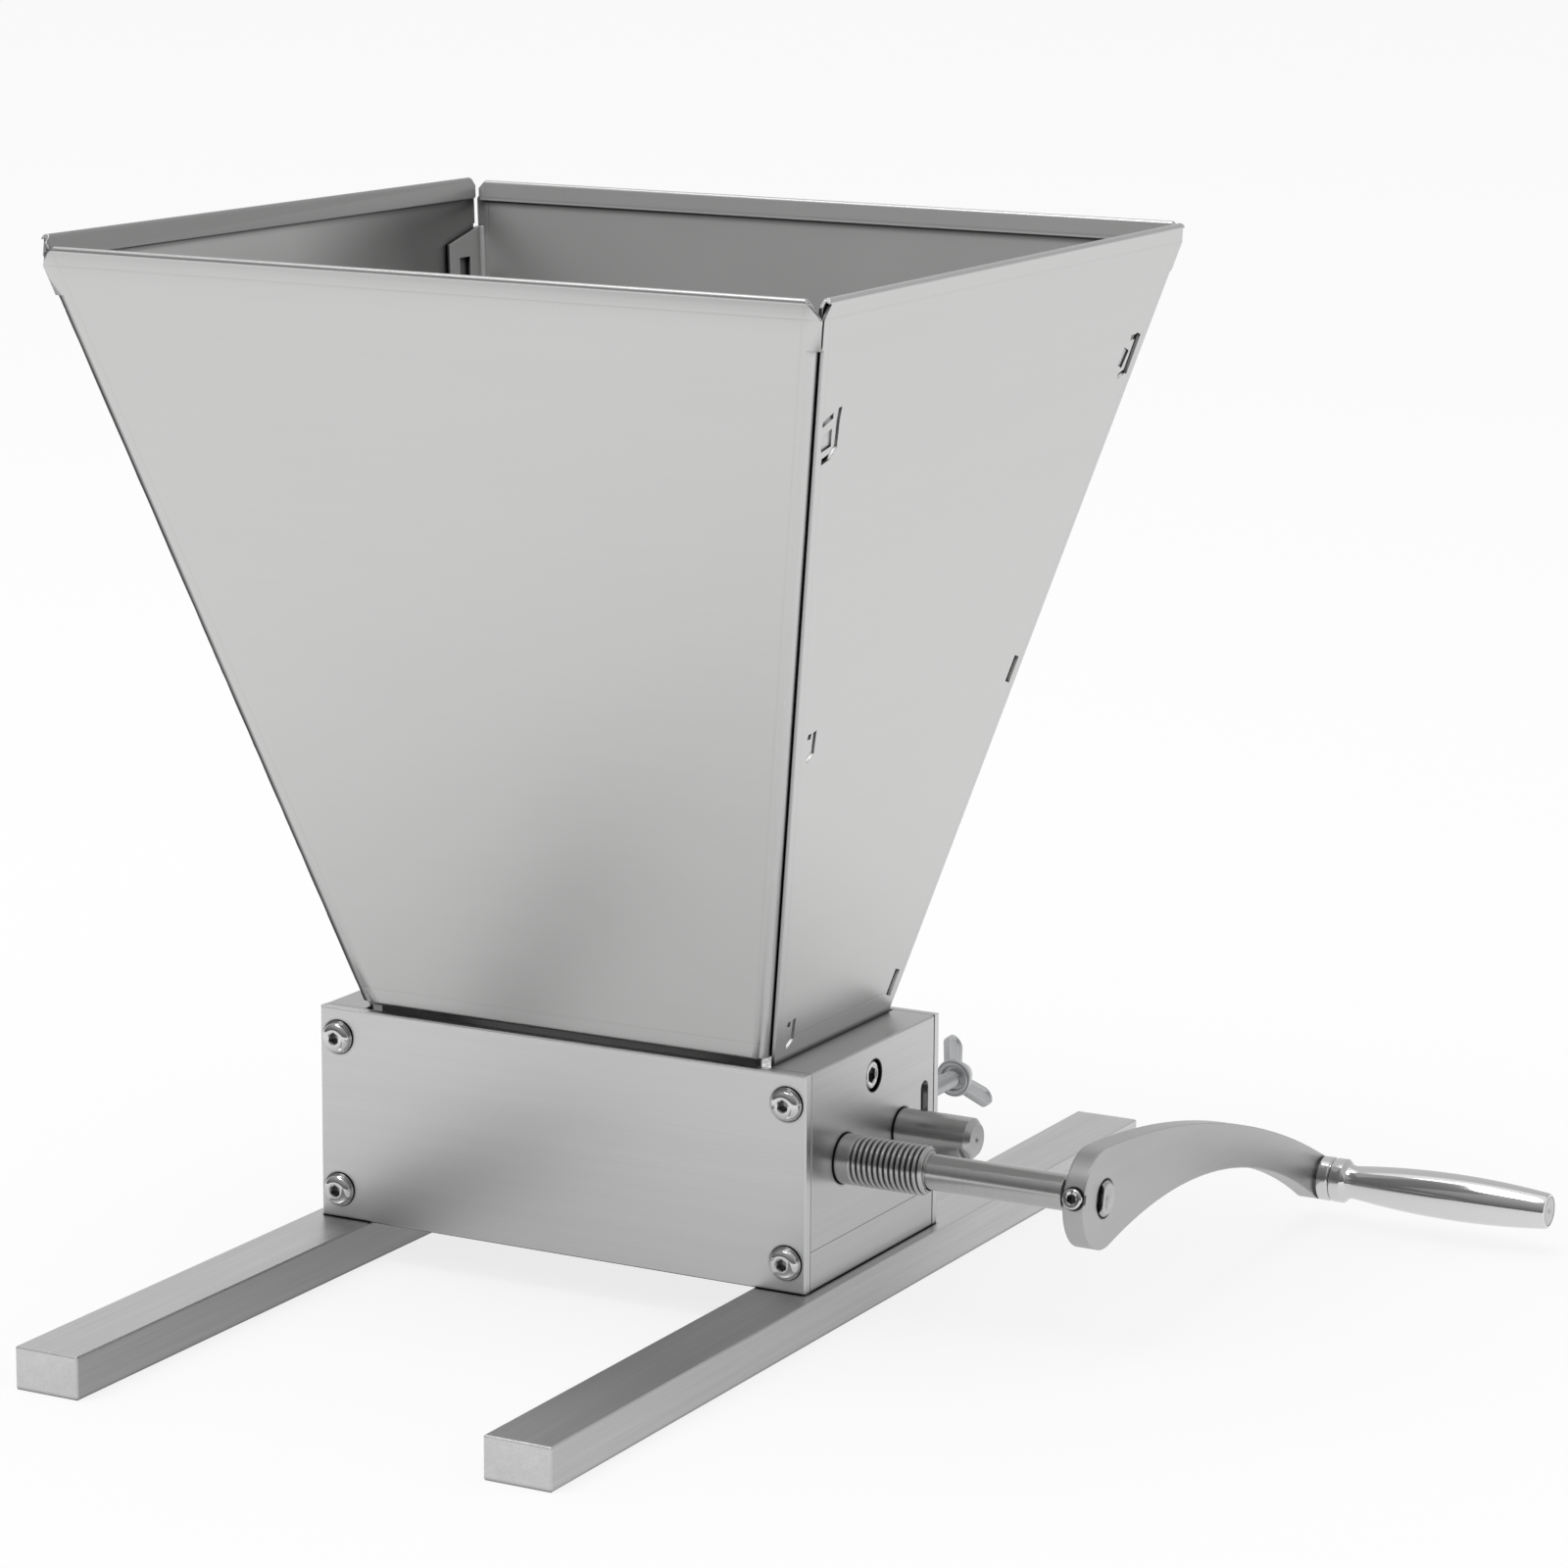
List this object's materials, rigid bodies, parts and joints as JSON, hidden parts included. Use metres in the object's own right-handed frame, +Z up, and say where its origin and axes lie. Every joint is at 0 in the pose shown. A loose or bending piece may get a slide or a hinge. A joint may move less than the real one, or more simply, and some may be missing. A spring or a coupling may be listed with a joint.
{
  "type": "malt mill",
  "caption": "Hand-cranked roller mill for malt: sheet hopper on a block body with bars below, crank with a turning grip, eccentric gap shaft and wing screws.",
  "frame": {"origin": "on the standing surface, under the middle of the mill body", "axes": "+X along the rollers towards the crank, +Y towards the back where the wing screws are, +Z up"},
  "size_m": [0.3478, 0.35, 0.2945],
  "materials": {
    "brushed_aluminium": "brushed",
    "sheet_steel": "satin sheet",
    "turned_steel": "turned",
    "knurled_steel": "knurled",
    "polished_steel": "polished",
    "screw_steel": "bright",
    "arm_steel": "ground",
    "bush_bronze": "sintered",
    "zinc_plate": "zinc plated"
  },
  "bodies": {
    "frame": {"base_bar_left": "brushed_aluminium", "base_bar_right": "brushed_aluminium", "base_bar_screws": "screw_steel", "end_block_left": "brushed_aluminium", "end_block_right": "brushed_aluminium", "front_plate": "brushed_aluminium", "back_plate": "brushed_aluminium", "front_plate_screws": "polished_steel", "back_plate_screws": "polished_steel", "hopper_front_panel": "sheet_steel", "hopper_back_panel": "sheet_steel", "hopper_left_panel": "sheet_steel", "hopper_right_panel": "sheet_steel", "hopper_fixing_screws": "screw_steel", "hopper_fixing_nuts": "screw_steel", "drive_bushes": "bush_bronze", "idle_washers": "screw_steel", "lock_nuts": "screw_steel"},
    "drive": {"drive_shaft": "turned_steel", "drive_roller": "knurled_steel", "crank_arm": "arm_steel", "crank_set_screw": "screw_steel", "handle_spindle": "turned_steel"},
    "grip": {"handle_grip": "polished_steel", "grip_end_plug": "polished_steel"},
    "gap": {"gap_shaft": "turned_steel"},
    "idle": {"idle_roller": "knurled_steel", "idle_bushes": "bush_bronze"},
    "wing_left": {"wing_screw_left": "zinc_plate"},
    "wing_right": {"wing_screw_right": "zinc_plate"}
  },
  "joints": [
    {"name": "crank", "type": "hinge", "parent": "frame", "child": "drive", "pos_m": [0, -0.0173, 0.0455], "axis": [1, 0, 0], "continuous": true},
    {"name": "grip_spin", "type": "hinge", "parent": "drive", "child": "grip", "pos_m": [0.1576, 0.13504, 0.01284], "axis": [1, 0, 0], "continuous": true},
    {"name": "gap_adjust", "type": "hinge", "parent": "frame", "child": "gap", "pos_m": [0, 0.0173, 0.0455], "axis": [1, 0, 0], "range_deg": [-90, 90]},
    {"name": "idle_spin", "type": "hinge", "parent": "gap", "child": "idle", "pos_m": [0, 0.0173, 0.0467], "axis": [1, 0, 0], "continuous": true},
    {"name": "wing_left_turn", "type": "hinge", "parent": "frame", "child": "wing_left", "pos_m": [-0.0725, 0.064, 0.0489], "axis": [0, 1, 0], "range_deg": [0, 180]},
    {"name": "wing_right_turn", "type": "hinge", "parent": "frame", "child": "wing_right", "pos_m": [0.0725, 0.064, 0.0489], "axis": [0, 1, 0], "range_deg": [0, 180]}
  ]
}
